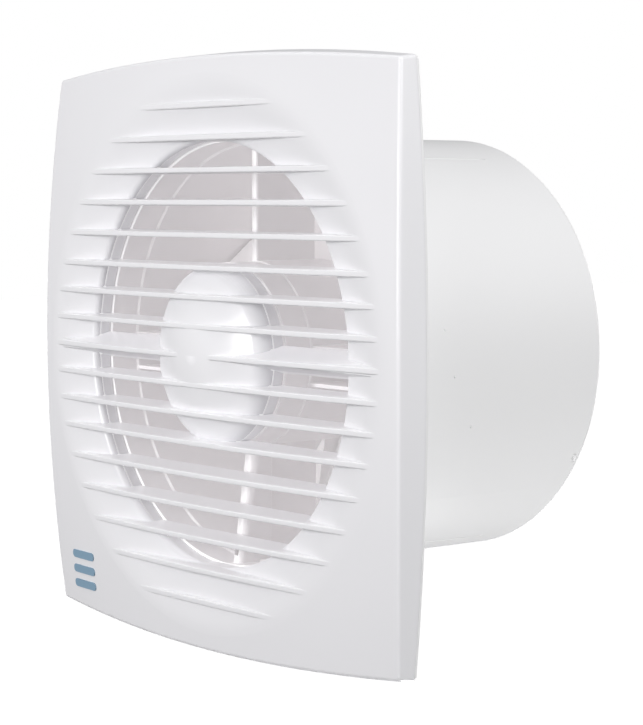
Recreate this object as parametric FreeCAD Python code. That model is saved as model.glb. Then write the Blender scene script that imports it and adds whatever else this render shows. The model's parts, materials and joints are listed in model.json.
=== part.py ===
import FreeCAD
import Part

import math
import os

# Bathroom extractor fan with a square crowned front cover and a round duct spigot.
# Millimetres. X is right, Y points back into the wall along the duct, Z is up.
# The origin is on the duct's axis in the plane of the wall.

V = FreeCAD.Vector

# ---- driving dimensions ----------------------------------------------------------

# front cover
CORNER_HALF = 80.1        # half width of the front outline, measured at its corners
OUTLINE_Y = -9.0          # depth at which that outline is measured
EDGE_BOW = 4.4            # how far the middle of each edge bows out past the corners
DRAFT = 1.0               # how much wider the outline is at the back of the cover
CORNER_ROUND = 1.2
INNER_CORNER = 0.6
CROWN_R = 800.0           # radius of the gently domed front face
FRONT_Y = -13.9           # highest point of the front face
COVER_BACK = -1.0
COVER_WALL = 2.2
FACE_WALL = 2.0
EDGE_ROUND = 1.05

# dished ring, opening and slats of the cover
RIM_R = 79.6              # the crowned face starts to roll over here
ROLL_R = 24.0             # radius of that roll
DISH_END_R = 61.9
DISH_END_Y = -7.2
OPENING_R = 60.5
COLLAR_BACK = -1.35
COLLAR_BACK_R = 61.0
PARTING_Y = -5.0          # a small step runs round the collars here
PARTING_STEP = 0.2
COLLAR_WALL = 1.4
SLAT = 1.4                # thickness in front
SLAT_BACK_T = 2.1         # and at the back
SLAT_END_R = 78.6
SLAT_SINK = 0.1           # how far the slats' fronts lie behind the crowned face
SLAT_BACK = -1.4
SLAT_ROUND = 0.32
INNER_PITCH = 8.3
OUTER_PITCH = 9.14
INNER_SLATS = 3
SLATS_EACH_SIDE = 8
BAR_BACK_HEIGHT = 7.6

# dome in the middle of the cover
DOME_FRONT = -14.25
DOME_CROWN_R = 53.4
DOME_R = 26.1
DOME_ROUND = 6.0
DOME_BACK = -1.05
DOME_PARTING_Y = -4.6
DOME_WALL = 1.8

# cover pegs, and their sockets in the fan body
PEG_X = 73.0
PEG_Z = 50.0
PEG_R = 1.8
PEG_END = -1.5
SOCKET_R = 2.15
SOCKET_WALL = 1.5
SOCKET_FRONT = -4.4

# fan body: base plate and duct
PLATE_FRONT = -1.8
FLANGE_FRONT = -0.7
FLANGE_INSET = 0.35
PLATE_GAP = 0.4
PLATE_ROUND = 1.5
RIM_WALL = 1.4
RIM_RISE = 1.6
SPIGOT_R = 62.0
SPIGOT_END = 86.7
MOUTH_R = 60.4
DUCT_R = 59.9
DUCT_STEP = 8.2
MOUTH_ROUND = 0.35
MOUTH_FRONT = -1.0        # the mouth lies in a recess that clears the cover's collar
RECESS_R = 62.95
WALL_SCREW = 70.0
WALL_SCREW_R = 2.3
PAD_R = 4.6
PAD_RISE = 0.6
BOSS_ROOT = -0.3          # bosses start this far inside the plate's back
PLATE_SKIN = -0.6         # blind holes end here, short of the wall face

# motor cup and the vanes that carry it
SEAM_TURN = 40.0          # keeps the seams of round faces clear of the vanes
CUP_R = 26.3
CUP_WALL = 1.6
CUP_FRONT = -0.7
CUP_STEP = 8.3
CUP_BACK = 33.5
CUP_FLOOR = 31.0
TOP_VANE = 2.5
TOP_VANE_FRONT = 8.0
TOP_VANE_BACK = 29.4
LOW_VANE = 1.0
LOW_VANE_FRONT = 10.9
LOW_VANE_BACK = 30.5
SIDE_VANE_TOP = 3.3
SIDE_VANE_LOW = -8.1
SIDE_VANE_WALL = 1.0
CONDUIT_HUB_W = 5.6
CONDUIT_WALL_W = 4.2
CONDUIT_HUB_Y = 6.2
CONDUIT_WALL_Y = 1.0
CONDUIT_BACK = 12.4
CONDUIT_SKIN = 1.0

# cable entry
GROMMET_X = -57.0
GROMMET_Z = -71.0
GROMMET_HOLE = 5.0
GROMMET_BORE = 3.1
CLAMP_X = -48.0
CLAMP_TOP_Z = -66.8
CLAMP_LOW_Z = -76.6
CLAMP_SEAT = -4.1
CLAMP_T = 1.3
CLAMP_WIDTH = 5.6
CLAMP_HEAD = 0.8
CLAMP_BOSS = 2.3

# screws, as radii; the cross slot is given as shares of the head
SMALL_SCREW = 1.0
SMALL_HEAD = 2.0
SMALL_HEAD_T = 1.0
SMALL_PILOT = 1.05
SMALL_CLEAR = 1.25
CROSS_REACH = 0.62
CROSS_DEPTH = 0.6
CROSS_HALF = 0.3

# terminal chamber
TERM_PLATE_Y = 3.5
TERM_PLATE_T = 1.5
CAP_R = 23.4
CAP_WALL = 1.5
CAP_FRONT = -7.7
CAP_POST = 15.5
PLATE_SCREW_X = 19.0
BLOCK_X = 9.5
BLOCK_Z = 7.0
BLOCK_FRONT = -5.5
POLE_X = 4.6
POLE_Z = 3.6
INSERT_R = 1.75
INSERT_BORE = 1.15
INSERT_TAP = 1.0
INSERT_HALF = 5.6
LEAD_R = 0.8
LEAD_Y = -1.0
LEAD_X = 4.6
LEAD_Z = -17.8

# motor
STACK_FRONT = 13.0
STACK_BACK = 25.0
STATOR_R = 24.3
YOKE_IN = 20.6
POLE_W = 7.0
POLE_FACE_IN = 10.3
POLE_FACE_OUT = 12.2
BOBBIN_T = 0.8
COIL_W = 2.6
ROTOR_R = 9.9
SHAFT_R = 2.0
BEARING_R = 4.5
BEARING_BORE = 2.05
SCREW_RING = 20.6
M3_R = 1.45
FRONT_BEARING = (6.7, 10.9)
REAR_BEARING = (27.2, 32.0)

# impeller
BLADES = 7
HUB_R = 26.0
TIP_R = 58.7
HUB_FRONT = 35.0
HUB_BACK = 56.0
ROOT_TWIST = 48.0
ROOT_CHORD = 26.0
ROOT_THICK = 2.4
ROOT_CAMBER = 2.2
TIP_TWIST = 28.0
TIP_CHORD = 40.0
TIP_THICK = 1.8
TIP_CAMBER = 2.6
HUB_WALL = 1.6
SHAFT_END = 58.0

# badge on the cover
BADGE_X = -65.4
BADGE_Z = -69.9
BADGE_W = 13.0
BADGE_BAR = 2.5
BADGE_PITCH = 4.6
BADGE_T = 0.3


# ---- building blocks -------------------------------------------------------------

def cyl(r, y0, y1, x=0.0, z=0.0):
    return Part.makeCylinder(r, y1 - y0, V(x, y0, z), V(0, 1, 0))


def ring(r_out, r_in, y0, y1, x=0.0, z=0.0):
    return cyl(r_out, y0, y1, x, z).cut(cyl(r_in, y0 - 1, y1 + 1, x, z))


def box(x0, x1, y0, y1, z0, z1):
    return Part.makeBox(x1 - x0, y1 - y0, z1 - z0, V(x0, y0, z0))


def turned(shape, degrees):
    copy = shape.copy()
    copy.rotate(V(0, 0, 0), V(0, 1, 0), degrees)
    return copy


def turned_over(shape):
    return shape.mirror(V(0, 0, 0), V(1, 0, 0))


def joined(shapes):
    # merged faces are kept only where merging leaves the solid as it was
    whole = shapes[0]
    for shape in shapes[1:]:
        whole = whole.fuse(shape)
    merged = whole.removeSplitter()
    unchanged = abs(merged.Volume - whole.Volume) < 0.001 * abs(whole.Volume)
    return merged if merged.isValid() and unchanged else whole


def revolved(edges):
    face = Part.Face(Part.Wire(edges))
    return face.revolve(V(0, 0, 0), V(0, 1, 0), 360)


def line(a, b):
    return Part.LineSegment(V(a[0], a[1], 0), V(b[0], b[1], 0)).toShape()


def arc(a, m, b):
    return Part.Arc(V(a[0], a[1], 0), V(m[0], m[1], 0), V(b[0], b[1], 0)).toShape()


def polyline(points):
    return [line(a, b) for a, b in zip(points, points[1:])]


def bowed_wire(half, bow, y):
    corners = [V(half, y, half), V(-half, y, half), V(-half, y, -half), V(half, y, -half)]
    reach = half + bow
    middles = [V(0, y, reach), V(-reach, y, 0), V(0, y, -reach), V(reach, y, 0)]
    following = corners[1:] + corners[:1]
    sides = zip(corners, middles, following)
    return Part.Wire([Part.Arc(a, m, b).toShape() for a, m, b in sides])


def bowed_block(half_front, half_back, y0, y1, corner):
    front = bowed_wire(half_front, EDGE_BOW, y0)
    back = bowed_wire(half_back, EDGE_BOW, y1)
    block = Part.makeLoft([front, back], True, True)
    upright = [e for e in block.Edges if is_corner_edge(e, half_front)]
    return block.makeFillet(corner, upright)


def is_corner_edge(edge, half):
    middle = edge.valueAt((edge.FirstParameter + edge.LastParameter) / 2)
    at_corner = abs(middle.x) > half * 0.97 and abs(middle.z) > half * 0.97
    return at_corner and edge.BoundBox.XLength < 4 and edge.BoundBox.ZLength < 4


def crown_ball(offset):
    centre_y = FRONT_Y + CROWN_R
    return Part.makeSphere(CROWN_R - offset, V(0, centre_y, 0))


def crown_y(r, offset=0.0):
    ball = CROWN_R - offset
    return FRONT_Y + CROWN_R - math.sqrt(ball * ball - r * r)


def screw(x, z, y_head, y_end, shank, head, head_t):
    body = cyl(shank, y_head, y_end, x, z).fuse(cyl(head, y_head, y_head + head_t, x, z))
    reach = head * CROSS_REACH
    depth = y_head + head_t * CROSS_DEPTH
    slot_a = box(x - reach, x + reach, y_head - 1, depth, z - CROSS_HALF, z + CROSS_HALF)
    slot_b = box(x - CROSS_HALF, x + CROSS_HALF, y_head - 1, depth, z - reach, z + reach)
    return body.removeSplitter().cut(slot_a.fuse(slot_b))


def small_screw(x, z, y_head, y_end, head_t=SMALL_HEAD_T):
    return screw(x, z, y_head, y_end, SMALL_SCREW, SMALL_HEAD, head_t)


def four_corners(x, z):
    return [(x, z), (-x, z), (-x, -z), (x, -z)]


def slat_heights():
    heights = [0.0]
    for k in range(1, SLATS_EACH_SIDE + 1):
        inner = min(k, INNER_SLATS) * INNER_PITCH
        outer = max(k - INNER_SLATS, 0) * OUTER_PITCH
        heights += [inner + outer, -inner - outer]
    return heights


# ---- front cover -----------------------------------------------------------------

def dish_section():
    # the crowned face rolls over into a cone that runs in to the lip of the opening
    # returns points as radius and depth, and the slope of the cone
    start = (RIM_R, crown_y(RIM_R))
    lean = RIM_R / CROWN_R
    centre = (start[0] - ROLL_R * lean, start[1] + ROLL_R * math.sqrt(1 - lean * lean))
    reach = math.hypot(DISH_END_R - centre[0], DISH_END_Y - centre[1])
    first = math.atan2(start[1] - centre[1], start[0] - centre[0])
    last = math.atan2(DISH_END_Y - centre[1], DISH_END_R - centre[0]) + math.acos(ROLL_R / reach)
    on_roll = [(centre[0] + ROLL_R * math.cos(a), centre[1] + ROLL_R * math.sin(a))
               for a in (first, (first + last) / 2, last)]
    return on_roll + [(DISH_END_R, DISH_END_Y)], -last - math.pi / 2


def deeper(points, depth):
    return [(r, y + depth) for r, y in points]


def dish_ring():
    section, slope = dish_section()
    start, middle, touch, end = section
    back_start, back_middle, back_touch, back_end = deeper(section, FACE_WALL)
    lip_r = (DISH_END_R - OPENING_R) / (1 - math.sin(slope))
    lip_centre_y = DISH_END_Y + lip_r * math.cos(slope)
    swing = (slope + math.pi / 2) / 2
    lip_mid = (OPENING_R + lip_r * (1 - math.sin(swing)), lip_centre_y - lip_r * math.cos(swing))
    lip_end = (OPENING_R, lip_centre_y)
    inside = (RIM_R + 0.8, crown_y(RIM_R) + FACE_WALL * 0.6)
    edges = [arc(start, middle, touch), line(touch, end), arc(end, lip_mid, lip_end)]
    stepped = OPENING_R + PARTING_STEP
    band = [lip_end, (OPENING_R, PARTING_Y), (stepped, PARTING_Y + 0.15)]
    band += [(COLLAR_BACK_R, COLLAR_BACK), (COLLAR_BACK_R + COLLAR_WALL, COLLAR_BACK)]
    edges += polyline(band + [back_end, back_touch])
    edges += [arc(back_touch, back_middle, back_start), line(back_start, inside)]
    edges += [line(inside, start)]
    return revolved(edges)


def slat_space():
    # the slats end inside the dished ring, and at one depth across the opening
    start, middle, touch, end = deeper(dish_section()[0], FACE_WALL * 0.5)
    inner = OPENING_R + 0.7
    far = (RIM_R, FRONT_Y - 6)
    edges = polyline([(0, SLAT_BACK), (0, far[1]), far, start]) + [arc(start, middle, touch)]
    edges += polyline([touch, end, (inner, SLAT_BACK), (0, SLAT_BACK)])
    return revolved(edges)


def slat(z):
    half = math.sqrt(SLAT_END_R * SLAT_END_R - z * z)
    front = FRONT_Y - 1
    back = SLAT_BACK + 1
    grow = (SLAT_BACK_T - SLAT) / (SLAT_BACK - FRONT_Y) / 2
    near = SLAT / 2 + grow * (front - FRONT_Y)
    far = SLAT / 2 + grow * (back - FRONT_Y)
    blade = wedge(half, (front, near), (back, far))
    blade.translate(V(0, 0, z))
    blade = blade.common(crown_ball(SLAT_SINK))
    long_front = [e for e in blade.Edges if e.BoundBox.XLength > half and e.BoundBox.YLength > 0.3]
    return blade.makeFillet(SLAT_ROUND, long_front)


def wedge(half_length, front, back):
    # front and back each give a depth and half the height there
    corners = [V(0, front[0], front[1]), V(0, back[0], back[1])]
    corners += [V(0, back[0], -back[1]), V(0, front[0], -front[1])]
    solid = Part.Face(Part.makePolygon(corners + corners[:1])).extrude(V(2 * half_length, 0, 0))
    solid.translate(V(-half_length, 0, 0))
    return solid


def centre_bar():
    # wedge behind the middle slat, thin in front and tall at the back
    front = (FRONT_Y + 1.2, SLAT / 2 - 0.1)
    bar = wedge(SLAT_END_R, front, (SLAT_BACK, BAR_BACK_HEIGHT / 2))
    return bar.common(crown_ball(0.6))


def dome_profile(shrink, back):
    # crown arc, rounded shoulder and short collar, as radius and depth
    crown_r = DOME_CROWN_R - shrink
    centre_y = DOME_FRONT + DOME_CROWN_R
    shoulder_x = DOME_R - DOME_ROUND
    reach = DOME_CROWN_R - DOME_ROUND
    shoulder_y = centre_y - math.sqrt(reach * reach - shoulder_x * shoulder_x)
    tilt = math.atan2(shoulder_x, centre_y - shoulder_y)
    apex = (0.0, centre_y - crown_r)
    crown_mid = (crown_r * math.sin(tilt / 2), centre_y - crown_r * math.cos(tilt / 2))
    crown_end = (crown_r * math.sin(tilt), centre_y - crown_r * math.cos(tilt))
    r = DOME_ROUND - shrink
    turn = math.acos((shoulder_y - DOME_PARTING_Y) / DOME_ROUND)
    swing = (tilt + turn) / 2
    shoulder_mid = (shoulder_x + r * math.sin(swing), shoulder_y - r * math.cos(swing))
    shoulder_end = (shoulder_x + r * math.sin(turn), shoulder_y - r * math.cos(turn))
    edges = [arc(apex, crown_mid, crown_end), arc(crown_end, shoulder_mid, shoulder_end)]
    side = shoulder_end[0] - PARTING_STEP
    band = [shoulder_end, (side, shoulder_end[1] + 0.15), (side + 0.1, back)]
    edges += polyline(band + [(0.0, back), apex])
    return edges


def cover_shell():
    deep = FRONT_Y - 3
    slope = DRAFT / (COVER_BACK - OUTLINE_Y)
    narrow = CORNER_HALF + slope * (deep - OUTLINE_Y)
    wide = CORNER_HALF + DRAFT
    outer = bowed_block(narrow, wide, deep, COVER_BACK, CORNER_ROUND).common(crown_ball(0))
    rim = [e for e in outer.Edges if on_front_rim(e)]
    outer = outer.makeFillet(EDGE_ROUND, rim)
    inner = bowed_block(narrow - COVER_WALL, wide - COVER_WALL, deep, COVER_BACK + 0.001, INNER_CORNER)
    inner = inner.common(crown_ball(FACE_WALL))
    shell = outer.cut(inner)
    return shell.cut(cyl(RIM_R, FRONT_Y - 5, COVER_BACK - 2.0))


def on_front_rim(edge):
    middle = edge.valueAt((edge.FirstParameter + edge.LastParameter) / 2)
    r = math.hypot(middle.x, middle.z)
    return r > CORNER_HALF and abs(middle.y - crown_y(r)) < 0.05 and edge.BoundBox.YLength < 5


def cover_pegs():
    top = crown_y(math.hypot(PEG_X, PEG_Z)) + FACE_WALL * 0.5
    return [cyl(PEG_R, top, PEG_END, x, z) for x, z in four_corners(PEG_X, PEG_Z)]


def front_cover():
    slats = joined([slat(z) for z in slat_heights()] + [centre_bar()])
    slats = slats.common(slat_space())
    past_back = DOME_BACK + 5
    dome_out = revolved(dome_profile(0.0, past_back))
    dome_in = revolved(dome_profile(DOME_WALL, past_back))
    behind = cyl(DOME_R + 1, DOME_BACK, past_back + 1)
    grille = joined([slats, dome_out.cut(behind)]).cut(dome_in)
    return joined([cover_shell(), dish_ring(), grille] + cover_pegs())


def cover_badge():
    skin = crown_ball(-BADGE_T).cut(crown_ball(0))
    half = (BADGE_W - BADGE_BAR) / 2
    bars = []
    for k in (-1, 0, 1):
        z = BADGE_Z + k * BADGE_PITCH
        bar = box(BADGE_X - half, BADGE_X + half, -15, -4, z - BADGE_BAR / 2, z + BADGE_BAR / 2)
        ends = [cyl(BADGE_BAR / 2, -15, -4, BADGE_X + s * half, z) for s in (1, -1)]
        bars.append(joined([bar] + ends).common(skin))
    return Part.makeCompound(bars)


# ---- fan body --------------------------------------------------------------------

def base_plate():
    wide = CORNER_HALF + DRAFT
    flange = bowed_block(wide - FLANGE_INSET, wide - FLANGE_INSET, FLANGE_FRONT, 0, CORNER_ROUND)
    inner = wide - COVER_WALL - PLATE_GAP
    plate = bowed_block(inner, inner, PLATE_FRONT, BOSS_ROOT, PLATE_ROUND)
    within = inner - RIM_WALL
    hollow = bowed_block(within, within, PLATE_FRONT - 3, PLATE_FRONT + 0.5, 1.0)
    rim = bowed_block(inner, inner, PLATE_FRONT - RIM_RISE, BOSS_ROOT, PLATE_ROUND).cut(hollow)
    plate = joined([flange, plate, rim] + socket_bosses() + clamp_bosses() + screw_pads())
    for x, z in four_corners(PEG_X, PEG_Z):
        plate = plate.cut(cyl(SOCKET_R, SOCKET_FRONT - 1, PLATE_SKIN, x, z))
    for x, z in four_corners(WALL_SCREW, WALL_SCREW):
        plate = plate.cut(cyl(WALL_SCREW_R, -5, 1, x, z))
    plate = plate.cut(cyl(GROMMET_HOLE, -5, 1, GROMMET_X, GROMMET_Z))
    for z in (CLAMP_TOP_Z, CLAMP_LOW_Z):
        plate = plate.cut(cyl(SMALL_PILOT, CLAMP_SEAT - 1, PLATE_SKIN, CLAMP_X, z))
    plate = plate.cut(cyl(RECESS_R, -5, MOUTH_FRONT))
    return plate.cut(cyl(SPIGOT_R - 0.8, -5, 1))


def socket_bosses():
    outer = SOCKET_R + SOCKET_WALL
    return [cyl(outer, SOCKET_FRONT, BOSS_ROOT, x, z) for x, z in four_corners(PEG_X, PEG_Z)]


def clamp_bosses():
    return [cyl(CLAMP_BOSS, CLAMP_SEAT, BOSS_ROOT, CLAMP_X, z) for z in (CLAMP_TOP_Z, CLAMP_LOW_Z)]


def screw_pads():
    front = PLATE_FRONT - PAD_RISE
    return [cyl(PAD_R, front, BOSS_ROOT, x, z) for x, z in four_corners(WALL_SCREW, WALL_SCREW)]


def duct_tube():
    # the mouth is rounded, a small step follows it, and the far end is chamfered
    mid = 0.29 * MOUTH_ROUND
    lip = arc((MOUTH_R + MOUTH_ROUND, MOUTH_FRONT), (MOUTH_R + mid, MOUTH_FRONT + mid),
              (MOUTH_R, MOUTH_FRONT + MOUTH_ROUND))
    inside = [(MOUTH_R, MOUTH_FRONT + MOUTH_ROUND), (MOUTH_R, DUCT_STEP - 0.25)]
    inside += [(DUCT_R, DUCT_STEP + 0.25), (DUCT_R, SPIGOT_END - 0.6)]
    outside = [(DUCT_R + 0.6, SPIGOT_END), (SPIGOT_R - 0.5, SPIGOT_END)]
    outside += [(SPIGOT_R, SPIGOT_END - 0.9), (SPIGOT_R, MOUTH_FRONT)]
    edges = [lip] + polyline(inside + outside + [(MOUTH_R + MOUTH_ROUND, MOUTH_FRONT)])
    return turned(revolved(edges), SEAM_TURN)


def motor_cup():
    inner = CUP_R - CUP_WALL
    outline = [(inner, CUP_FRONT + 0.3), (inner + 0.4, CUP_FRONT), (CUP_R - 0.3, CUP_FRONT)]
    outline += [(CUP_R, CUP_FRONT + 0.3), (CUP_R, CUP_STEP - 0.2), (CUP_R + 0.3, CUP_STEP + 0.1)]
    outline += [(CUP_R + 0.3, CUP_BACK - 0.8), (CUP_R - 0.5, CUP_BACK), (7.4, CUP_BACK)]
    outline += [(7.4, CUP_FLOOR), (inner, CUP_FLOOR), (inner, CUP_FRONT + 0.3)]
    cup = turned(revolved(polyline(outline)), SEAM_TURN)
    for side in (1, -1):
        boss = cyl(2.5, TERM_PLATE_Y + TERM_PLATE_T, 9.2, side * PLATE_SCREW_X, 0)
        web = box(0, 6, TERM_PLATE_Y + TERM_PLATE_T, 9.2, -1.2, 1.2)
        web.translate(V(PLATE_SCREW_X if side > 0 else -PLATE_SCREW_X - 6, 0, 0))
        cup = cup.fuse([boss, web])
        cup = cup.cut(cyl(SMALL_PILOT, 0, 8.6, side * PLATE_SCREW_X, 0))
    for x, z in diagonal_places():
        cup = cup.cut(cyl(M3_R + 0.05, CUP_FLOOR - 1, CUP_BACK - 0.2, x, z))
    return cup.removeSplitter()


def diagonal_places():
    side = SCREW_RING / math.sqrt(2)
    return [(side, side), (-side, side), (-side, -side), (side, -side)]


def upright_vane(thick, front, back, z0, z1):
    vane = box(-thick / 2, thick / 2, front, back, z0, z1)
    lead = [e for e in vane.Edges if abs(e.BoundBox.YMin - front) < 0.01 and e.BoundBox.ZLength > 5]
    lead = [e for e in lead if e.BoundBox.YLength < 0.01]
    return vane.makeFillet(thick * 0.4, lead)


def side_vane():
    # channel that is open to the front
    outer = box(CUP_R - 0.8, DUCT_R + 0.9, CUP_STEP, TOP_VANE_BACK, SIDE_VANE_LOW, SIDE_VANE_TOP)
    wall = SIDE_VANE_WALL
    low = SIDE_VANE_LOW + wall
    top = SIDE_VANE_TOP - wall
    inner = box(CUP_R - 2, DUCT_R + 2, CUP_STEP - 1, TOP_VANE_BACK - wall, low, top)
    return outer.cut(inner)


def channel_wire(width, front, back, z):
    half = width / 2
    left = V(-half, back, z)
    right = V(half, back, z)
    shoulder_l = V(-half, front + half, z)
    shoulder_r = V(half, front + half, z)
    edges = [Part.LineSegment(left, shoulder_l).toShape()]
    edges.append(Part.Arc(shoulder_l, V(0, front, z), shoulder_r).toShape())
    edges.append(Part.LineSegment(shoulder_r, right).toShape())
    edges.append(Part.LineSegment(right, left).toShape())
    return Part.Wire(edges)


def conduit_loft(skin, z_hub, z_wall):
    hub = channel_wire(CONDUIT_HUB_W - 2 * skin, CONDUIT_HUB_Y + skin, CONDUIT_BACK - skin, z_hub)
    low = channel_wire(CONDUIT_WALL_W - 2 * skin, CONDUIT_WALL_Y + skin, CONDUIT_BACK - skin, z_wall)
    return Part.makeLoft([hub, low], True, True)


def fan_body():
    top = upright_vane(TOP_VANE, TOP_VANE_FRONT, TOP_VANE_BACK, CUP_R - 0.8, DUCT_R + 0.9)
    low = upright_vane(LOW_VANE, LOW_VANE_FRONT, LOW_VANE_BACK, -DUCT_R - 0.9, -CUP_R + 0.8)
    conduit = conduit_loft(0.0, -CUP_R + 0.9, -DUCT_R - 0.6)
    right = side_vane()
    body = joined([duct_tube(), base_plate(), motor_cup(), top, low, conduit, turned_over(right), right])
    wire_way = conduit_loft(CONDUIT_SKIN, -CUP_R + 3.5, -DUCT_R + 1.2)
    slot = box(-0.9, 0.9, CONDUIT_WALL_Y - 2, CONDUIT_WALL_Y + 5, -58.2, -53.4)
    return body.cut(wire_way).cut(slot)


# ---- cable entry -----------------------------------------------------------------

def cable_grommet():
    neck = ring(GROMMET_HOLE - 0.05, GROMMET_BORE, PLATE_FRONT - 0.9, 0.0)
    front = ring(GROMMET_HOLE + 1.5, GROMMET_BORE, PLATE_FRONT - 1.3, PLATE_FRONT)
    grommet = joined([neck, front])
    grommet.translate(V(GROMMET_X, 0, GROMMET_Z))
    return grommet


def cable_clamp():
    half = CLAMP_WIDTH / 2
    front = CLAMP_SEAT - CLAMP_T
    bar = box(CLAMP_X - half, CLAMP_X + half, front, CLAMP_SEAT, CLAMP_LOW_Z - 2.4, CLAMP_TOP_Z + 2.6)
    bar = bar.makeFillet(0.5, [e for e in bar.Edges if e.BoundBox.YMax < front + 0.1])
    middle = (CLAMP_TOP_Z + CLAMP_LOW_Z) / 2
    ridge = box(-0.7, 0.7, CLAMP_SEAT - 0.5, CLAMP_SEAT + 0.8, middle - 2.4, middle + 2.4)
    ridge.translate(V(CLAMP_X, 0, 0))
    bar = joined([bar, ridge])
    for z in (CLAMP_TOP_Z, CLAMP_LOW_Z):
        bar = bar.cut(cyl(SMALL_CLEAR, front - 1, CLAMP_SEAT + 1, CLAMP_X, z))
    return bar


def clamp_screws():
    head = CLAMP_SEAT - CLAMP_T - CLAMP_HEAD
    places = (CLAMP_TOP_Z, CLAMP_LOW_Z)
    return Part.makeCompound([small_screw(CLAMP_X, z, head, -1.0, CLAMP_HEAD) for z in places])


# ---- terminal chamber ------------------------------------------------------------

def terminal_plate():
    back = TERM_PLATE_Y + TERM_PLATE_T
    plate = cyl(CUP_R - CUP_WALL - 0.15, TERM_PLATE_Y, back)
    posts = [cyl(2.2, CAP_FRONT + CAP_WALL + 0.05, back, 0, s * CAP_POST) for s in (1, -1)]
    plate = joined([plate] + posts)
    for s in (1, -1):
        plate = plate.cut(cyl(SMALL_PILOT, CAP_FRONT - 2, back - 0.6, 0, s * CAP_POST))
        plate = plate.cut(cyl(SMALL_CLEAR, 0, back + 1, s * PLATE_SCREW_X, 0))
        window = box(LEAD_X - 1.7, LEAD_X + 1.7, 0, back + 1, -21.5, -13.0)
        plate = plate.cut(window if s > 0 else turned_over(window))
    return plate.cut(cyl(SMALL_PILOT, 0, back - 0.4))


def terminal_cover():
    outer = cyl(CAP_R, CAP_FRONT, TERM_PLATE_Y - 0.02)
    outer = outer.makeFillet(2.6, [e for e in outer.Edges if e.BoundBox.YMax < CAP_FRONT + 0.1])
    inner = cyl(CAP_R - CAP_WALL, CAP_FRONT + CAP_WALL, TERM_PLATE_Y + 1)
    inner = inner.makeFillet(1.4, [e for e in inner.Edges if e.BoundBox.YMax < CAP_FRONT + CAP_WALL + 0.1])
    cap = outer.cut(inner)
    for s in (1, -1):
        cap = cap.cut(cyl(SMALL_CLEAR, CAP_FRONT - 1, CAP_FRONT + 4, 0, s * CAP_POST))
        cap = cap.cut(cyl(2.2, CAP_FRONT - 1, CAP_FRONT + 0.7, 0, s * CAP_POST))
    return cap


def terminal_cover_screws():
    head = CAP_FRONT - 0.3
    places = (CAP_POST, -CAP_POST)
    return Part.makeCompound([small_screw(0, z, head, 2.0) for z in places])


def terminal_plate_screws():
    head = TERM_PLATE_Y - 1.0
    places = (PLATE_SCREW_X, -PLATE_SCREW_X)
    return Part.makeCompound([small_screw(x, 0, head, 8.2) for x in places])


def terminal_block():
    block = box(-BLOCK_X, BLOCK_X, BLOCK_FRONT, TERM_PLATE_Y, -BLOCK_Z, BLOCK_Z)
    edges = [e for e in block.Edges if e.BoundBox.YMax < BLOCK_FRONT + 0.1]
    block = block.makeFillet(0.8, edges)
    for s in (1, -1):
        foot = V(s * POLE_X, LEAD_Y, -BLOCK_Z - 1)
        block = block.cut(Part.makeCylinder(INSERT_R + 0.05, 2 * BLOCK_Z + 2, foot, V(0, 0, 1)))
    for x, z in four_corners(POLE_X, POLE_Z):
        block = block.cut(cyl(INSERT_R - 0.05, BLOCK_FRONT - 1, LEAD_Y, x, z))
    block = block.cut(cyl(SMALL_SCREW + 0.2, BLOCK_FRONT - 1, TERM_PLATE_Y + 1))
    return block.cut(cyl(SMALL_HEAD + 0.1, BLOCK_FRONT - 1, BLOCK_FRONT + 2.4))


def terminal_inserts():
    inserts = []
    for s in (1, -1):
        start = V(s * POLE_X, LEAD_Y, -INSERT_HALF)
        tube = Part.makeCylinder(INSERT_R, 2 * INSERT_HALF, start, V(0, 0, 1))
        bore = Part.makeCylinder(INSERT_BORE, 2 * INSERT_HALF + 2, start - V(0, 0, 1), V(0, 0, 1))
        tube = tube.cut(bore)
        for z in (-POLE_Z, POLE_Z):
            tube = tube.cut(cyl(INSERT_TAP, BLOCK_FRONT - 1, LEAD_Y, s * POLE_X, z))
        inserts.append(tube)
    return Part.makeCompound(inserts)


def terminal_screws():
    head = LEAD_Y - 3.9
    tip = LEAD_Y - INSERT_BORE
    places = four_corners(POLE_X, POLE_Z)
    return Part.makeCompound([screw(x, z, head, tip, INSERT_TAP - 0.05, 1.5, 0.9) for x, z in places])


def block_screw():
    return small_screw(0, 0, BLOCK_FRONT + 1.4, TERM_PLATE_Y + 0.8)


def lead(side):
    # straight forward from the coil, one round bend, then into the terminal block
    x = side * LEAD_X
    start = V(x, 9.3, LEAD_Z)
    corner = V(x, LEAD_Y, LEAD_Z)
    end = V(x, LEAD_Y, -5.9)
    bend = 0.45 * min((corner - start).Length, (end - corner).Length)
    first = corner + V(0, bend, 0)
    last = corner + V(0, 0, bend)
    mid = corner + V(0, bend, bend) - V(0, bend, bend) * math.sqrt(0.5)
    path = Part.Wire([Part.LineSegment(start, first).toShape(), Part.Arc(first, mid, last).toShape(),
                      Part.LineSegment(last, end).toShape()])
    section = Part.Wire(Part.makeCircle(LEAD_R, start, V(0, 1, 0)))
    return path.makePipeShell([section], True, False)


# ---- motor -----------------------------------------------------------------------

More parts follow.
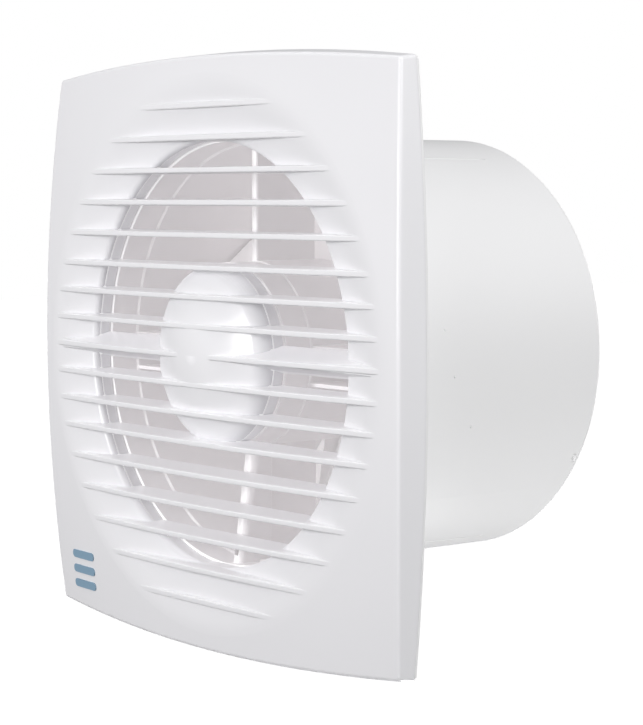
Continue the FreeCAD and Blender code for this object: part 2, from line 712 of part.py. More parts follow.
def stator_core():
    core = ring(STATOR_R, YOKE_IN, STACK_FRONT, STACK_BACK)
    shoes = ring(POLE_FACE_OUT, POLE_FACE_IN, STACK_FRONT, STACK_BACK)
    parts = [core]
    for k in range(4):
        pole = box(POLE_FACE_IN + 0.4, YOKE_IN + 1, STACK_FRONT, STACK_BACK, -POLE_W / 2, POLE_W / 2)
        wedge = box(0, 14, STACK_FRONT, STACK_BACK, -6.6, 6.6).common(shoes)
        parts.append(turned(pole.cut(cyl(POLE_FACE_IN, STACK_FRONT - 1, STACK_BACK + 1)), 90 * k))
        parts.append(turned(wedge, 90 * k))
    core = joined(parts)
    for x, z in diagonal_places():
        core = core.cut(cyl(M3_R + 0.1, STACK_FRONT - 1, STACK_BACK + 1, x, z))
        core = core.fuse(ring(3.0, M3_R + 0.1, STACK_FRONT, STACK_BACK, x, z).common(cyl(STATOR_R, 0, 40)))
    return core.removeSplitter()


def around_pole(grow, thick_r0, thick_r1):
    half_w = POLE_W / 2 + grow
    front = STACK_FRONT - grow
    back = STACK_BACK + grow
    return box(thick_r0, thick_r1, front, back, -half_w, half_w)


def coil_bobbins():
    bobbins = []
    for k in range(4):
        tube = around_pole(BOBBIN_T, 12.7, 19.0)
        inner = around_pole(BOBBIN_T + COIL_W, 12.7, 13.3)
        outer = around_pole(BOBBIN_T + COIL_W, 18.4, 19.0)
        bobbin = joined([tube, inner, outer]).cut(around_pole(0.05, 12, 20))
        bobbins.append(turned(bobbin, 90 * k))
    return Part.makeCompound(bobbins)


def field_coils():
    coils = []
    for k in range(4):
        body = around_pole(BOBBIN_T + COIL_W - 0.15, 13.3, 18.4)
        along = [e for e in body.Edges if e.BoundBox.XLength > 5]
        body = body.makeFillet(1.6, along).cut(around_pole(BOBBIN_T, 12, 20))
        coils.append(turned(body, 90 * k))
    return Part.makeCompound(coils)


def shading_rings():
    # each copper ring wraps one tip of a pole shoe at both ends of the stack
    rings = []
    for k in range(4):
        wrap = ring(12.1, 10.45, STACK_FRONT - 0.9, STACK_BACK + 0.9)
        sector = wrap.common(box(8, 12.3, STACK_FRONT - 1, STACK_BACK + 1, 3.9, 5.4))
        ends = sector.cut(box(5, 20, STACK_FRONT, STACK_BACK, 0, 10))
        for piece in ends.Solids:
            rings.append(turned(piece, 90 * k))
    return Part.makeCompound(rings)


def thermal_fuse():
    front = STACK_FRONT - BOBBIN_T - COIL_W - 2.2
    return Part.makeCylinder(1.0, 7.0, V(-3.5, front, 16.0), V(1, 0, 0))


def bearing_bracket(arm_front, arm_back, seat, hub_front, hub_back):
    hub = cyl(6.4, hub_front, hub_back)
    arms = []
    for k in range(4):
        arm = box(0, SCREW_RING, arm_front, arm_back, -2.6, 2.6)
        post = cyl(2.7, min(arm_front, seat), max(arm_back, seat), SCREW_RING, 0)
        arms += [turned(arm, 45 + 90 * k), turned(post, 45 + 90 * k)]
    bracket = joined([hub] + arms)
    for x, z in diagonal_places():
        bracket = bracket.cut(cyl(M3_R + 0.1, 0, 40, x, z))
    return bracket.cut(cyl(BEARING_R + 0.02, 0, 40))


def front_bracket():
    return bearing_bracket(7.2, 8.8, STACK_FRONT, 6.6, 10.9)


def rear_bracket():
    return bearing_bracket(29.2, 30.9, STACK_BACK, 27.1, 32.2)


def sleeve_bearing(y0, y1):
    bearing = ring(BEARING_R, BEARING_BORE, y0, y1)
    rims = [e for e in bearing.Edges if e.BoundBox.XLength > 2 * BEARING_R - 0.1]
    return bearing.makeChamfer(0.4, [e for e in rims if e.BoundBox.YLength < 0.01])


def motor_screws():
    return Part.makeCompound([screw(x, z, 5.6, 33.0, M3_R, 2.6, 1.55) for x, z in diagonal_places()])


# ---- rotor -----------------------------------------------------------------------

def rotor_core():
    return ring(ROTOR_R, SHAFT_R, STACK_FRONT, STACK_BACK)


def rotor_cage():
    front = ring(ROTOR_R - 0.3, SHAFT_R + 2.6, STACK_FRONT - 1.0, STACK_FRONT)
    back = ring(ROTOR_R - 0.3, SHAFT_R + 2.6, STACK_BACK, STACK_BACK + 1.0)
    return Part.makeCompound([front, back])


def motor_shaft():
    shaft = cyl(SHAFT_R, 5.6, SHAFT_END)
    ends = [e for e in shaft.Edges if e.BoundBox.YLength < 0.01]
    return shaft.makeChamfer(0.4, ends)


def thrust_washers():
    return Part.makeCompound([ring(3.8, SHAFT_R, 11.2, 11.9), ring(3.8, SHAFT_R, 26.1, 26.8)])


def blade_section(radius, twist, chord, thick, camber):
    # curved strip in a plane at the given radius, set at an angle to the fan's plane
    half = chord / 2
    upper = Part.Arc(V(-half, 0, 0), V(0, camber + thick / 2, 0), V(half, 0, 0)).toShape()
    lower = Part.Arc(V(half, 0, 0), V(0, camber - thick / 2, 0), V(-half, 0, 0)).toShape()
    wire = Part.Wire([upper, lower])
    wire.rotate(V(0, 0, 0), V(0, 0, 1), twist)
    wire.translate(V(0, (HUB_FRONT + HUB_BACK) / 2 + 1.0, radius))
    return wire


def impeller():
    inner = HUB_R - HUB_WALL
    bore = SHAFT_R + 0.02
    skirt = [(HUB_R - 2.0, HUB_FRONT), (HUB_R, HUB_FRONT + 2.0), (HUB_R, HUB_BACK)]
    skirt += [(inner, HUB_BACK), (inner, HUB_FRONT + 2.0), (5.0, HUB_FRONT + 2.0)]
    skirt += [(5.0, HUB_BACK - 3.0), (bore, HUB_BACK - 3.0), (bore, HUB_FRONT)]
    hub = revolved(polyline(skirt + skirt[:1]))
    root = blade_section(HUB_R - 1.0, ROOT_TWIST, ROOT_CHORD, ROOT_THICK, ROOT_CAMBER)
    tip = blade_section(TIP_R + 4.0, TIP_TWIST, TIP_CHORD, TIP_THICK, TIP_CAMBER)
    blade = Part.makeLoft([root, tip], True, True).common(cyl(TIP_R, 30, 70))
    blades = [turned(blade, 360.0 / BLADES * k) for k in range(BLADES)]
    rib = box(4.0, HUB_R - 1.0, HUB_FRONT + 1.5, HUB_BACK - 9.0, -0.6, 0.6)
    ribs = [turned(rib, 360.0 / BLADES * (k + 0.5)) for k in range(BLADES)]
    return joined([hub] + blades + ribs)


def impeller_clip():
    clip = ring(4.6, SHAFT_R, HUB_BACK - 2.9, HUB_BACK - 2.2)
    for k in range(3):
        clip = clip.cut(turned(box(3.0, 6.0, HUB_BACK - 4, HUB_BACK - 1, -0.5, 0.5), 120 * k))
    return clip


# ---- write every node ------------------------------------------------------------

NODES = {
    "front_cover": front_cover,
    "cover_badge": cover_badge,
    "fan_body": fan_body,
    "cable_grommet": cable_grommet,
    "cable_clamp": cable_clamp,
    "clamp_screws": clamp_screws,
    "terminal_plate": terminal_plate,
    "terminal_plate_screws": terminal_plate_screws,
    "terminal_cover": terminal_cover,
    "terminal_cover_screws": terminal_cover_screws,
    "terminal_block": terminal_block,
    "terminal_inserts": terminal_inserts,
    "terminal_screws": terminal_screws,
    "block_screw": block_screw,
    "live_lead": lambda: lead(1),
    "neutral_lead": lambda: lead(-1),
    "stator_core": stator_core,
    "coil_bobbins": coil_bobbins,
    "field_coils": field_coils,
    "shading_rings": shading_rings,
    "thermal_fuse": thermal_fuse,
    "front_bracket": front_bracket,
    "rear_bracket": rear_bracket,
    "front_bearing": lambda: sleeve_bearing(*FRONT_BEARING),
    "rear_bearing": lambda: sleeve_bearing(*REAR_BEARING),
    "motor_screws": motor_screws,
    "rotor_core": rotor_core,
    "rotor_cage": rotor_cage,
    "motor_shaft": motor_shaft,
    "thrust_washers": thrust_washers,
    "impeller": impeller,
    "impeller_clip": impeller_clip,
}

os.makedirs("parts", exist_ok=True)
for name, build in NODES.items():
    shape = build()
    solids = len(shape.Solids)
    print(name, "solids", solids, "valid", shape.isValid(), "volume", round(shape.Volume, 1))
    shape.exportStep("parts/" + name + ".step")
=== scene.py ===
import json
import math

import bmesh
import bpy
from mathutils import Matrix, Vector


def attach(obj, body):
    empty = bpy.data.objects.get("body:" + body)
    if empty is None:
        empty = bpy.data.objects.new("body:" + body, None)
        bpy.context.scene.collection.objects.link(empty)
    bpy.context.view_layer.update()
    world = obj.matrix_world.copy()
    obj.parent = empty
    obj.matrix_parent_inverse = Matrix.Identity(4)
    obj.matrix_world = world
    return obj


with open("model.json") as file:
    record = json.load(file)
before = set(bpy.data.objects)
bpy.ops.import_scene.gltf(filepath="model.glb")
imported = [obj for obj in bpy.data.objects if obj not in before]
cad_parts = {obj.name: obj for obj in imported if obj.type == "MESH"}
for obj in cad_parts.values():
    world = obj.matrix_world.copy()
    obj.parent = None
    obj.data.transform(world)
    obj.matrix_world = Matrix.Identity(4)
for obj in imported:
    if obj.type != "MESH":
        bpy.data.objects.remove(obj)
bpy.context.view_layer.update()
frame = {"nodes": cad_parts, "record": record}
nodes = frame["nodes"]

MM = 0.001

# ---- camera ----------------------------------------------------------------------

CAMERA_AT = (0.51764, -0.38128, 0.04504)
CAMERA_TURN = 51.331       # degrees to the left of straight into the wall
CAMERA_DIP = 4.227         # degrees below level
CAMERA_LENS = 111.89
CAMERA_SENSOR = 36.0
CAMERA_NEAR = 0.05
CAMERA_FAR = 60.0


def add_camera():
    data = bpy.data.cameras.new("camera")
    data.lens = CAMERA_LENS
    data.sensor_width = CAMERA_SENSOR
    data.sensor_fit = "AUTO"
    data.clip_start = CAMERA_NEAR
    data.clip_end = CAMERA_FAR
    camera = bpy.data.objects.new("camera", data)
    camera.location = CAMERA_AT
    camera.rotation_euler = (math.radians(90.0 - CAMERA_DIP), 0.0, math.radians(CAMERA_TURN))
    bpy.context.scene.collection.objects.link(camera)
    bpy.context.scene.camera = camera


# ---- light and stage -------------------------------------------------------------

CENTRE = (0, 0, 0)
WHITE = (1.0, 1.0, 1.0)
NEAR_WHITE = (1.0, 0.995, 1.0)
WARM_WHITE = (1.0, 0.985, 0.985)

# name, place, target, size, watts and tint of each soft light
LIGHTS = (
    ("softbox", (-0.10, -0.75, 0.12), CENTRE, (0.10, 0.28), 2.1, NEAR_WHITE),
    ("near", (-0.035, -0.38, 0.06), CENTRE, (0.035, 0.12), 0.36, NEAR_WHITE),
    ("front_right", (0.5, -1.1, 0.2), CENTRE, (0.6, 0.6), 2.0, WARM_WHITE),
    ("right_top", (0.75, 0.02, 0.42), CENTRE, (0.35, 0.35), 4.1, WHITE),
    ("below", (0.05, 0.25, -0.58), (0.02, 0.1, 0), (0.3, 0.2), 2.8, WHITE),
    ("behind", (0.0, 0.6, 0.0), CENTRE, (0.3, 0.3), 0.5, WHITE),
)


def add_area(name, place, target, size, energy, tint):
    data = bpy.data.lights.new(name, "AREA")
    data.shape = "RECTANGLE"
    data.size = size[0]
    data.size_y = size[1]
    data.energy = energy
    data.color = tint
    light = bpy.data.objects.new(name, data)
    light.location = place
    aim = Vector(target) - Vector(place)
    light.rotation_euler = aim.to_track_quat("-Z", "Y").to_euler()
    light.visible_camera = False
    bpy.context.scene.collection.objects.link(light)


# brightness of the room, from straight down (-1) to straight up (1)
ROOM = ((-1.0, 0.28), (-0.35, 0.14), (0.0, 0.14), (0.35, 0.44), (1.0, 0.56))
ROOM_BLUE = 1.015   # the room's light is this much bluer than grey


def add_world():
    # the object is lit by the room, and stands before plain white
    world = bpy.data.worlds.new("studio")
    bpy.context.scene.world = world
    world.use_nodes = True
    tree = world.node_tree
    tree.nodes.clear()
    out = tree.nodes.new("ShaderNodeOutputWorld")
    mix = tree.nodes.new("ShaderNodeMixShader")
    seen = tree.nodes.new("ShaderNodeBackground")
    around = tree.nodes.new("ShaderNodeBackground")
    path = tree.nodes.new("ShaderNodeLightPath")
    place = tree.nodes.new("ShaderNodeTexCoord")
    split = tree.nodes.new("ShaderNodeSeparateXYZ")
    ramp = tree.nodes.new("ShaderNodeValToRGB")
    scale = tree.nodes.new("ShaderNodeMapRange")
    seen.inputs["Color"].default_value = (1, 1, 1, 1)
    seen.inputs["Strength"].default_value = 1.0
    scale.inputs["From Min"].default_value = -1.0
    scale.inputs["From Max"].default_value = 1.0
    for _ in range(len(ROOM) - 2):
        ramp.color_ramp.elements.new(0.5)
    for stop, (height, bright) in zip(ramp.color_ramp.elements, ROOM):
        stop.position = (height + 1) / 2
        stop.color = (bright, bright, bright * ROOM_BLUE, 1)
    around.inputs["Strength"].default_value = 1.0
    tree.links.new(place.outputs["Generated"], split.inputs[0])
    tree.links.new(split.outputs["Z"], scale.inputs["Value"])
    tree.links.new(scale.outputs["Result"], ramp.inputs["Fac"])
    tree.links.new(ramp.outputs["Color"], around.inputs["Color"])
    tree.links.new(path.outputs["Is Camera Ray"], mix.inputs[0])
    tree.links.new(around.outputs[0], mix.inputs[1])
    tree.links.new(seen.outputs[0], mix.inputs[2])
    tree.links.new(mix.outputs[0], out.inputs[0])


FLOOR_Z = -0.62
FLOOR_SIZE = 24.0
FLOOR_GREY = 0.5
FLOOR_ROUGH = 0.9
FLOOR_GLOW = 0.8


def add_floor():
    half = FLOOR_SIZE / 2
    mesh = bpy.data.meshes.new("floor")
    signs = ((-1, -1), (1, -1), (1, 1), (-1, 1))
    corners = [(x * half, y * half, FLOOR_Z) for x, y in signs]
    mesh.from_pydata(corners, [], [(0, 1, 2, 3)])
    floor = bpy.data.objects.new("floor", mesh)
    bpy.context.scene.collection.objects.link(floor)
    material = bpy.data.materials.new("floor_white")
    material.use_nodes = True
    shader = material.node_tree.nodes["Principled BSDF"]
    shader.inputs["Base Color"].default_value = (FLOOR_GREY, FLOOR_GREY, FLOOR_GREY, 1)
    shader.inputs["Roughness"].default_value = FLOOR_ROUGH
    shader.inputs["Emission Color"].default_value = (1, 1, 1, 1)
    shader.inputs["Emission Strength"].default_value = FLOOR_GLOW
    mesh.materials.append(material)
    floor.visible_diffuse = False
    floor.visible_glossy = False


# ---- materials -------------------------------------------------------------------

IOR = 1.5

# scales of the noise, in cycles per metre, and how much of it shows
BROAD_SCALE = 14.0
HAZE_SCALE = 60.0
FINE_SCALE = 900.0
BROAD_SPREAD = 0.008   # tint, up and down
ROUGH_SPREAD = 0.05    # roughness, up and down
FINE_DEPTH = 0.000008
BUMP = 0.3
NOISE_LOW = 0.3        # the noise hardly ever leaves this range
NOISE_HIGH = 0.7

METAL_SCALE = 600.0
METAL_DEPTH = 0.00002
METAL_DARK = 0.86
SOFT_SAMPLES = 6
EDGE_SAMPLES = 8


def node(tree, kind, **values):
    made = tree.nodes.new(kind)
    for key, value in values.items():
        made.inputs[key.replace("_", " ")].default_value = value
    return made


def shaded(name, rough, metal=0.0):
    material = bpy.data.materials.new(name)
    material.use_nodes = True
    tree = material.node_tree
    shader = tree.nodes["Principled BSDF"]
    shader.inputs["Roughness"].default_value = rough
    shader.inputs["Metallic"].default_value = metal
    shader.inputs["IOR"].default_value = IOR
    return material, tree, shader


def noise_at(tree, scale, detail, stretch=(1, 1, 1)):
    place = tree.nodes.new("ShaderNodeTexCoord")
    mapping = tree.nodes.new("ShaderNodeMapping")
    mapping.inputs["Scale"].default_value = stretch
    noise = node(tree, "ShaderNodeTexNoise", Scale=scale, Detail=detail)
    tree.links.new(place.outputs["Object"], mapping.inputs["Vector"])
    tree.links.new(mapping.outputs["Vector"], noise.inputs["Vector"])
    return noise


def tinted(tree, shader, noise, dark, light):
    ramp = tree.nodes.new("ShaderNodeValToRGB")
    ramp.color_ramp.elements[0].position = NOISE_LOW
    ramp.color_ramp.elements[1].position = NOISE_HIGH
    ramp.color_ramp.elements[0].color = (*dark, 1)
    ramp.color_ramp.elements[1].color = (*light, 1)
    tree.links.new(noise.outputs["Fac"], ramp.inputs["Fac"])
    tree.links.new(ramp.outputs["Color"], shader.inputs["Base Color"])


def bumped(tree, shader, noise, depth, soft=0.0):
    # soft rounds the edges' shading, as a moulded or deburred edge looks
    bump = node(tree, "ShaderNodeBump", Strength=BUMP, Distance=depth)
    if soft:
        edge = node(tree, "ShaderNodeBevel", Radius=soft)
        edge.samples = SOFT_SAMPLES
        tree.links.new(edge.outputs["Normal"], bump.inputs["Normal"])
    tree.links.new(noise.outputs["Fac"], bump.inputs["Height"])
    tree.links.new(bump.outputs["Normal"], shader.inputs["Normal"])


def roughened(tree, shader, noise, low, high):
    spread = node(tree, "ShaderNodeMapRange", To_Min=low, To_Max=high)
    spread.inputs["From Min"].default_value = NOISE_LOW
    spread.inputs["From Max"].default_value = NOISE_HIGH
    tree.links.new(noise.outputs["Fac"], spread.inputs["Value"])
    tree.links.new(spread.outputs["Result"], shader.inputs["Roughness"])


def satin(tree, shader, rough, soft):
    # an uneven gloss over a fine grain, as moulded plastic has
    haze = noise_at(tree, HAZE_SCALE, 3.0)
    roughened(tree, shader, haze, rough * (1 - ROUGH_SPREAD), rough * (1 + ROUGH_SPREAD))
    bumped(tree, shader, noise_at(tree, FINE_SCALE, 2.0), FINE_DEPTH, soft)


def moulded(name, colour, rough, soft=0.0):
    material, tree, shader = shaded(name, rough)
    broad = noise_at(tree, BROAD_SCALE, 3.0)
    dark = tuple(c * (1 - BROAD_SPREAD) for c in colour)
    light = tuple(min(c * (1 + BROAD_SPREAD), 1.0) for c in colour)
    tinted(tree, shader, broad, dark, light)
    satin(tree, shader, rough, soft)
    return material


# painted light: a fixed emission on plastic faces that lie in shade, and painted highlights
# along thin edges, lit by no lamp
DUCT_PAINTED_LIGHT = 0.18                        # inside the duct
DUCT_PAINTED_LIGHT_TINT = (0.52, 0.50, 0.507)
EDGE_PAINTED_HIGHLIGHT = 0.36                   # along the duct's thin edges
COVER_PAINTED_LIGHT = (0.24, 0.235, 0.24)   # on the cover's inner faces
SLAT_PAINTED_LIGHT = 0.6                    # part of that on the slats' upper faces
COLLAR_PAINTED_LIGHT = 0.35                 # and on the collars round the opening and the dome
PARTING_PAINTED_HIGHLIGHT = 0.9                 # along the collars' parting lines

# where the painted light and painted highlights go, in metres: depths run back from the wall
# plane, radii from the axis
DUCT_INNER = (0.0608, 0.0612)      # from the inside's look to the outside's
DUCT_REACH = 0.00014
DUCT_SOFT = 0.00025
LIP_DEPTHS = ((-0.0012, 1.0), (-0.0008, 1.0), (-0.00072, 0.0))
LIP_RADII = (0.0575, 0.0585)
COVER_REACH = 0.00035
COVER_SOFT = 0.0004
COLLAR_DEPTHS = ((-0.0049, 0.0), (-0.0046, COLLAR_PAINTED_LIGHT))
PARTING_DEPTHS = ((-0.0056, 0.0), (-0.0054, 1.0), (-0.0044, 1.0), (-0.0043, 0.0))
GRILLE_RADII = (0.070, 0.078)
# the painted light on the slats' upper faces is full up to 30 mm above the axis and gone by
# 60 mm
LOW_SLATS = ((0.030, 1.0), (0.060, 0.0))
TO_WALL = ((0.2, 0.0), (0.6, 1.0))         # by the normal's part along Y
UPWARD = ((0.5, 0.0), (0.9, SLAT_PAINTED_LIGHT))    # and along Z

# how far a rounded edge's normal has turned from the face's, as a cosine
TURN_NONE = 0.995
TURN_FULL = 0.93

# base colours outside and inside the duct; the inside's warmer tint is painted light
DUCT_OUTSIDE = (0.85, 0.85, 0.852)
DUCT_INSIDE = (0.86, 0.845, 0.85)


def edge_mask(tree, reach):
    # 1 along edges, 0 on open faces
    edge = node(tree, "ShaderNodeBevel", Radius=reach)
    edge.samples = EDGE_SAMPLES
    facing = tree.nodes.new("ShaderNodeNewGeometry")
    agree = tree.nodes.new("ShaderNodeVectorMath")
    agree.operation = "DOT_PRODUCT"
    spread = node(tree, "ShaderNodeMapRange", From_Min=TURN_NONE, From_Max=TURN_FULL)
    tree.links.new(edge.outputs["Normal"], agree.inputs[0])
    tree.links.new(facing.outputs["Normal"], agree.inputs[1])
    tree.links.new(agree.outputs["Value"], spread.inputs["Value"])
    return spread.outputs["Result"]


def axis_mask(tree, inside, outside):
    # 0 nearer the duct axis than inside, 1 beyond outside
    place = tree.nodes.new("ShaderNodeTexCoord")
    split = tree.nodes.new("ShaderNodeSeparateXYZ")
    flat = tree.nodes.new("ShaderNodeCombineXYZ")
    radius = tree.nodes.new("ShaderNodeVectorMath")
    radius.operation = "LENGTH"
    spread = node(tree, "ShaderNodeMapRange", From_Min=inside, From_Max=outside)
    tree.links.new(place.outputs["Object"], split.inputs[0])
    tree.links.new(split.outputs["X"], flat.inputs["X"])
    tree.links.new(split.outputs["Z"], flat.inputs["Z"])
    tree.links.new(flat.outputs[0], radius.inputs[0])
    tree.links.new(radius.outputs["Value"], spread.inputs["Value"])
    return spread.outputs["Result"]


def ramped(tree, factor, low, high):
    ramp = tree.nodes.new("ShaderNodeValToRGB")
    ramp.color_ramp.elements[0].color = (*low, 1)
    ramp.color_ramp.elements[1].color = (*high, 1)
    tree.links.new(factor, ramp.inputs["Fac"])
    return ramp.outputs["Color"]


def duct_plastic(name, rough):
    # satin outside; the faces that look into the duct are painted a warmer tint and given a
    # faint emission, painted light in the shaded duct, with painted highlights along thin
    # edges and round the mouth's lip
    material, tree, shader = shaded(name, rough)
    away = axis_mask(tree, *DUCT_INNER)
    tree.links.new(ramped(tree, away, DUCT_INSIDE, DUCT_OUTSIDE), shader.inputs["Base Color"])
    # the painted light on the faces inside the duct
    face = tuple(DUCT_PAINTED_LIGHT * c for c in DUCT_PAINTED_LIGHT_TINT)
    place = tree.nodes.new("ShaderNodeTexCoord")
    depth = tree.nodes.new("ShaderNodeSeparateXYZ")
    tree.links.new(place.outputs["Object"], depth.inputs[0])
    # painted highlights: bright lines along thin edges and round the mouth's lip
    lips = between(tree, depth.outputs["Y"], LIP_DEPTHS)
    mouth = combined(tree, "MULTIPLY", lips, axis_mask(tree, *LIP_RADII))
    highlight_lines = combined(tree, "MAXIMUM", edge_mask(tree, DUCT_REACH), mouth)
    painted_light = ramped(tree, highlight_lines, face, (EDGE_PAINTED_HIGHLIGHT, EDGE_PAINTED_HIGHLIGHT, EDGE_PAINTED_HIGHLIGHT))
    tree.links.new(mixed(tree, away, painted_light, (0, 0, 0)), shader.inputs["Emission Color"])
    shader.inputs["Emission Strength"].default_value = 1.0
    satin(tree, shader, rough, DUCT_SOFT)
    return material


def metal(name, colour, rough, stretch=(1, 1, 1), scale=METAL_SCALE):
    material, tree, shader = shaded(name, rough, metal=1.0)
    grain = noise_at(tree, scale, 4.0, stretch)
    tinted(tree, shader, grain, tuple(c * METAL_DARK for c in colour), colour)
    roughened(tree, shader, grain, rough * 0.8, rough * 1.25)
    bumped(tree, shader, grain, METAL_DEPTH)
    return material


def between(tree, value, points):
    # a grey level that follows the points (value, level), as a factor
    low = points[0][0]
    high = points[-1][0]
    spread = node(tree, "ShaderNodeMapRange", From_Min=low, From_Max=high)
    ramp = tree.nodes.new("ShaderNodeValToRGB")
    for _ in range(len(points) - 2):
        ramp.color_ramp.elements.new(0.5)
    for stop, (at, level) in zip(ramp.color_ramp.elements, points):
        stop.position = (at - low) / (high - low)
        stop.color = (level, level, level, 1)
    tree.links.new(value, spread.inputs["Value"])
    tree.links.new(spread.outputs["Result"], ramp.inputs["Fac"])
    return ramp.outputs["Color"]


def combined(tree, operation, first, second):
    joint = tree.nodes.new("ShaderNodeMath")
    joint.operation = operation
    tree.links.new(first, joint.inputs[0])
    tree.links.new(second, joint.inputs[1])
    return joint.outputs["Value"]


def mixed(tree, factor, low, high):
    # low and high are each a colour or another node's output
    mix = tree.nodes.new("ShaderNodeMix")
    mix.data_type = "RGBA"
    tree.links.new(factor, mix.inputs[0])
    for socket, value in ((mix.inputs[6], low), (mix.inputs[7], high)):
        if isinstance(value, tuple):
            socket.default_value = (*value, 1)
        else:
            tree.links.new(value, socket)
    return mix.outputs[2]


def cover_plastic(name, colour, rough):
    # glossy; faces turned to the wall, the tops of the lower slats and the collars round the
    # opening and the dome get a faint emission, painted light on faces in shade, and the
    # edges at the collars' parting depth get painted highlights
    material = moulded(name, colour, rough, COVER_SOFT)
    tree = material.node_tree
    shader = tree.nodes["Principled BSDF"]
    facing = tree.nodes.new("ShaderNodeNewGeometry")
    split = tree.nodes.new("ShaderNodeSeparateXYZ")
    tree.links.new(facing.outputs["True Normal"], split.inputs[0])
    to_wall = between(tree, split.outputs["Y"], TO_WALL)
    place = tree.nodes.new("ShaderNodeTexCoord")
    where = tree.nodes.new("ShaderNodeSeparateXYZ")
    tree.links.new(place.outputs["Object"], where.inputs[0])
    upward = between(tree, split.outputs["Z"], UPWARD)
    low = between(tree, where.outputs["Z"], LOW_SLATS)
    tops = combined(tree, "MULTIPLY", upward, low)
    collars = between(tree, where.outputs["Y"], COLLAR_DEPTHS)
    grille = mixed(tree, axis_mask(tree, *GRILLE_RADII), (1, 1, 1), (0, 0, 0))
    painted_lit_mask = combined(tree, "MULTIPLY", combined(tree, "MAXIMUM", tops, collars), grille)
    painted_light = ramped(tree, combined(tree, "MAXIMUM", to_wall, painted_lit_mask), (0, 0, 0), COVER_PAINTED_LIGHT)
    # painted highlights along the edges at the collars' parting depth
    parting = between(tree, where.outputs["Y"], PARTING_DEPTHS)
    parting_highlight = combined(tree, "MULTIPLY", edge_mask(tree, COVER_REACH), parting)
    edge = (PARTING_PAINTED_HIGHLIGHT, PARTING_PAINTED_HIGHLIGHT, PARTING_PAINTED_HIGHLIGHT)
    tree.links.new(mixed(tree, parting_highlight, painted_light, edge), shader.inputs["Emission Color"])
    shader.inputs["Emission Strength"].default_value = 1.0
    return material


# thin sheets stacked along Y
SHEETS = (1, 40, 1)
SHEET_SCALE = 90.0


def slot_materials():
    made = {}
    made["cover_plastic"] = cover_plastic("cover_plastic", (0.825, 0.823, 0.84), 0.30)
    made["body_plastic"] = duct_plastic("body_plastic", 0.34)
    made["badge_blue"] = moulded("badge_blue", (0.235, 0.365, 0.48), 0.35)
    made["grommet_rubber"] = moulded("grommet_rubber", (0.03, 0.03, 0.03), 0.7)
    made["screw_steel"] = metal("screw_steel", (0.62, 0.62, 0.60), 0.32)
    made["block_plastic"] = moulded("block_plastic", (0.74, 0.71, 0.62), 0.45)
    made["terminal_brass"] = metal("terminal_brass", (0.78, 0.58, 0.26), 0.3)
    made["lead_brown"] = moulded("lead_brown", (0.17, 0.07, 0.03), 0.45)
    made["lead_blue"] = moulded("lead_blue", (0.03, 0.13, 0.45), 0.45)
    stack = metal("lamination_steel", (0.34, 0.34, 0.36), 0.45, SHEETS, SHEET_SCALE)
    made["lamination_steel"] = stack
    made["bobbin_plastic"] = moulded("bobbin_plastic", (0.70, 0.66, 0.55), 0.5)
    made["coil_copper"] = metal("coil_copper", (0.60, 0.22, 0.09), 0.3)
    made["ring_copper"] = metal("ring_copper", (0.80, 0.40, 0.25), 0.3)
    made["fuse_metal"] = metal("fuse_metal", (0.65, 0.65, 0.65), 0.35)
    made["bracket_aluminium"] = metal("bracket_aluminium", (0.66, 0.67, 0.68), 0.5)
    made["bearing_bronze"] = metal("bearing_bronze", (0.52, 0.36, 0.20), 0.5)
    made["cage_aluminium"] = metal("cage_aluminium", (0.68, 0.68, 0.70), 0.45)
    made["shaft_steel"] = metal("shaft_steel", (0.70, 0.70, 0.72), 0.18)
    made["washer_plastic"] = moulded("washer_plastic", (0.08, 0.08, 0.09), 0.5)
    made["impeller_plastic"] = duct_plastic("impeller_plastic", 0.34)
    made["clip_steel"] = metal("clip_steel", (0.38, 0.38, 0.40), 0.35)
    return made


def dress_nodes():
    made = slot_materials()
    for part in frame["record"]["subparts"]:
        mesh = nodes[part["node"]].data
        mesh.materials.clear()
        mesh.materials.append(made[part["material_slot"]])
    return made


# ---- small moulded details -------------------------------------------------------

# a rounded pip with a flared foot, as radius and height in mm
PIP = ((1.0, -0.2), (1.0, 0.0), (0.86, 0.06), (0.76, 0.18), (0.72, 0.34))
PIP += ((0.58, 0.48), (0.34, 0.56), (0.04, 0.58))
PIP_SIDES = 24

LOCK_NUB = (83.45, -3.8, -24.9)
RIM_PIP = (84.4, -30.2)   # depth, and degrees round the duct
DUCT_MARKS = ((30.1, -3.9), (38.6, -17.6), (26.8, 8.1))
DUCT_R = 62.0
MARK_SCALE = 0.4

# low mould lines along the duct
SEAM_ANGLES = (64.4, 115.6, -64.4, -115.6)
SEAM_START = 1.0
SEAM_END = 73.0
SEAM_FADE = 18.0
SEAM_HALF = 0.55
SEAM_HEIGHT = 0.14
SEAM_SINK = 0.01      # its edges lie this far in the wall
SEAM_ROOT = 0.25      # and its back this far
SEAM_STEPS = 40
SEAM_ACROSS = 8


def add_piece(name, rings, body, material):
    # rings of points in mm, joined in order and closed at both ends
    mesh = bpy.data.meshes.new(name)
    shape = bmesh.new()
    loops = [[shape.verts.new(Vector(point) * MM) for point in ring] for ring in rings]
    for near, far in zip(loops, loops[1:]):
        for k in range(len(near)):
            after = (k + 1) % len(near)
            shape.faces.new((near[k], near[after], far[after], far[k]))
    shape.faces.new(reversed(loops[0]))
    shape.faces.new(loops[-1])
    bmesh.ops.recalc_face_normals(shape, faces=shape.faces)
    for face in shape.faces:
        face.smooth = True
    shape.to_mesh(mesh)
    shape.free()
    mesh.materials.append(material)
    piece = bpy.data.objects.new(name, mesh)
    bpy.context.scene.collection.objects.link(piece)
    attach(piece, body)


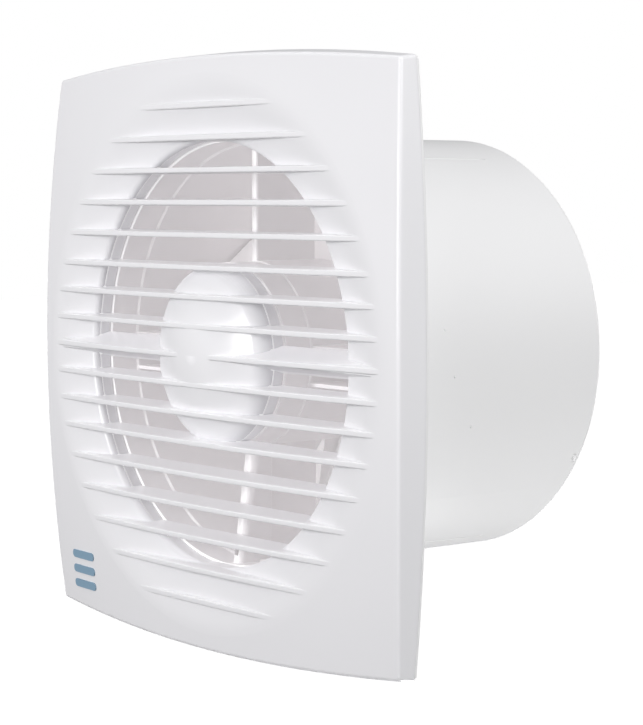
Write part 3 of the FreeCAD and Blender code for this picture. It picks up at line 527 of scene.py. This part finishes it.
def pip_rings(place, out, scale):
    out = Vector(out).normalized()
    side = out.cross(Vector((0, 1, 0))).normalized()
    along = out.cross(side)
    rings = []
    for r, h in PIP:
        ring = []
        for k in range(PIP_SIDES):
            turn = 2 * math.pi * k / PIP_SIDES
            reach = side * math.cos(turn) + along * math.sin(turn)
            ring.append(Vector(place) + (out * h + reach * r) * scale)
        rings.append(ring)
    return rings


def on_duct(depth, degrees, radius=DUCT_R):
    turn = math.radians(degrees)
    return (radius * math.cos(turn), depth, radius * math.sin(turn))


def seam_rings(degrees):
    rings = []
    half = math.degrees(SEAM_HALF / DUCT_R)
    for k in range(SEAM_STEPS + 1):
        depth = SEAM_START + (SEAM_END - SEAM_START) * k / SEAM_STEPS
        fade = min((SEAM_END - depth) / SEAM_FADE, 1.0)
        ring = []
        for j in range(SEAM_ACROSS + 1):
            across = 2.0 * j / SEAM_ACROSS - 1.0
            rise = SEAM_HEIGHT * fade * (1 + math.cos(math.pi * across)) / 2
            turn = degrees + across * half
            ring.append(on_duct(depth, turn, DUCT_R + rise - SEAM_SINK))
        ring.append(on_duct(depth, degrees + half, DUCT_R - SEAM_ROOT))
        ring.append(on_duct(depth, degrees - half, DUCT_R - SEAM_ROOT))
        rings.append(ring)
    return rings


def add_details(made):
    cover = made["cover_plastic"]
    body = made["body_plastic"]
    for side, name in ((1, "right"), (-1, "left")):
        x, y, z = LOCK_NUB
        nub = pip_rings((side * x, y, z), (side, 0, 0), 1.0)
        add_piece("lock_nub_" + name, nub, "cover", cover)
        degrees = RIM_PIP[1] if side > 0 else 180 - RIM_PIP[1]
        pip = pip_rings(on_duct(RIM_PIP[0], degrees), on_duct(0, degrees), 1.0)
        add_piece("duct_pip_" + name, pip, "housing", body)
    for k, (depth, degrees) in enumerate(DUCT_MARKS):
        mark = pip_rings(on_duct(depth, degrees), on_duct(0, degrees), MARK_SCALE)
        add_piece("duct_mark_%d" % (k + 1), mark, "housing", body)
    for k, degrees in enumerate(SEAM_ANGLES):
        add_piece("duct_seam_%d" % (k + 1), seam_rings(degrees), "housing", body)


# ---- build -----------------------------------------------------------------------

add_camera()
add_world()
add_floor()
for light in LIGHTS:
    add_area(*light)
materials = dress_nodes()
add_details(materials)
bpy.context.scene.view_settings.view_transform = "Standard"
